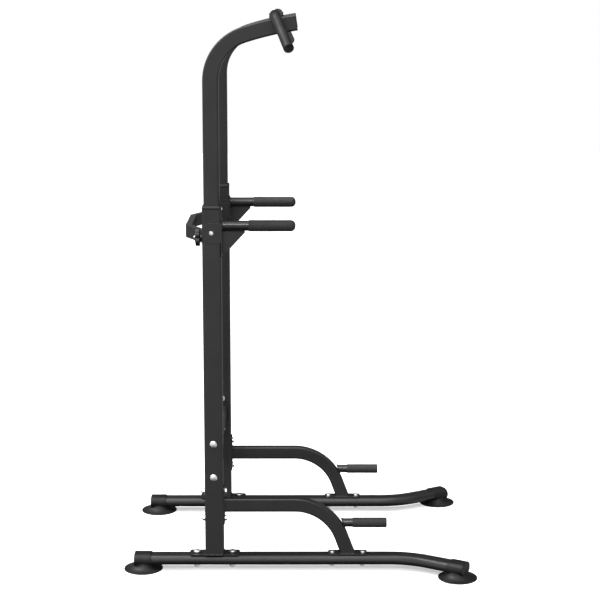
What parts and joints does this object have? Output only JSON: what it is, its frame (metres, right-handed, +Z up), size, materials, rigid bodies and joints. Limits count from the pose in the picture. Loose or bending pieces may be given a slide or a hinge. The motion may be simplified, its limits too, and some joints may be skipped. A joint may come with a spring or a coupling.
{
  "type": "power tower",
  "caption": "Free-standing tower for pull-ups, dips and push-ups, with telescoping posts, foam-gripped arms, arched braces and floor rails on suction-cup feet.",
  "frame": {"origin": "on the floor, at the centre of the footprint's box", "axes": "+Z up; +X the way the dip arms and push-up bars point; +Y to the user's left when the user stands between the arms with the uprights behind"},
  "size_m": [1.156, 1.0226, 1.8208],
  "materials": {
    "powder_coat": "satin black powder coat on steel tube",
    "foot_rubber": "matt moulded rubber",
    "grip_foam": "closed-cell foam",
    "black_plastic": "moulded, slightly textured",
    "zinc_plate": "bright zinc plating",
    "brass": "turned brass"
  },
  "bodies": {
    "base_frame": {"right_rear_rail": "powder_coat", "right_front_rail": "powder_coat", "right_rail_sleeve": "powder_coat", "right_rear_foot": "foot_rubber", "right_front_foot": "foot_rubber", "right_upright": "powder_coat", "right_collar": "black_plastic", "right_arch_brace": "powder_coat", "right_push_up_bar": "powder_coat", "right_push_up_grip": "grip_foam", "right_dip_arm": "powder_coat", "right_dip_grip": "grip_foam", "right_clamp_boss": "powder_coat", "left_rear_rail": "powder_coat", "left_front_rail": "powder_coat", "left_rail_sleeve": "powder_coat", "left_rear_foot": "foot_rubber", "left_front_foot": "foot_rubber", "left_upright": "powder_coat", "left_collar": "black_plastic", "left_arch_brace": "powder_coat", "left_push_up_bar": "powder_coat", "left_push_up_grip": "grip_foam", "left_dip_arm": "powder_coat", "left_dip_grip": "grip_foam", "left_clamp_boss": "powder_coat", "lower_crossmember": "powder_coat", "rear_crossbar": "powder_coat", "base_bolts": "zinc_plate", "base_washers": "powder_coat", "base_nuts": "zinc_plate", "flange_bolts": "zinc_plate", "flange_nuts": "zinc_plate", "brace_bolts": "zinc_plate", "brace_nuts": "zinc_plate", "crossmember_bolts": "zinc_plate", "crossmember_nuts": "zinc_plate", "dip_bolts": "zinc_plate"},
    "upper_frame": {"right_post": "powder_coat", "right_post_cap": "black_plastic", "right_post_bush": "black_plastic", "right_bar_saddle": "powder_coat", "right_bar_plug": "black_plastic", "left_post": "powder_coat", "left_post_cap": "black_plastic", "left_post_bush": "black_plastic", "left_bar_saddle": "powder_coat", "left_bar_plug": "black_plastic", "pull_up_bar": "powder_coat", "saddle_screws": "zinc_plate"},
    "right_pad": {"right_clamp_pad": "brass"},
    "right_knob": {"right_clamp_knob": "black_plastic", "right_knob_insert": "zinc_plate"},
    "left_pad": {"left_clamp_pad": "brass"},
    "left_knob": {"left_clamp_knob": "black_plastic", "left_knob_insert": "zinc_plate"}
  },
  "joints": [
    {"name": "height_adjust", "type": "slide", "parent": "base_frame", "child": "upper_frame", "axis": [0, 0, 1], "range_m": [0, 0.53]},
    {"name": "right_pad_travel", "type": "slide", "parent": "base_frame", "child": "right_pad", "axis": [-1, 0, 0], "range_m": [0, 0.0031]},
    {"name": "right_knob_turn", "type": "hinge", "parent": "right_pad", "child": "right_knob", "pos_m": [-0.324, -0.3, 1.105], "axis": [-1, 0, 0], "range_deg": [0, 720]},
    {"name": "left_pad_travel", "type": "slide", "parent": "base_frame", "child": "left_pad", "axis": [-1, 0, 0], "range_m": [0, 0.0031]},
    {"name": "left_knob_turn", "type": "hinge", "parent": "left_pad", "child": "left_knob", "pos_m": [-0.324, 0.3, 1.105], "axis": [-1, 0, 0], "range_deg": [0, 720]}
  ],
  "couplings": [
    {"joint": "right_pad_travel", "follows": "right_knob_turn", "m_per_rad": 0.00023873},
    {"joint": "left_pad_travel", "follows": "left_knob_turn", "m_per_rad": 0.00023873}
  ]
}
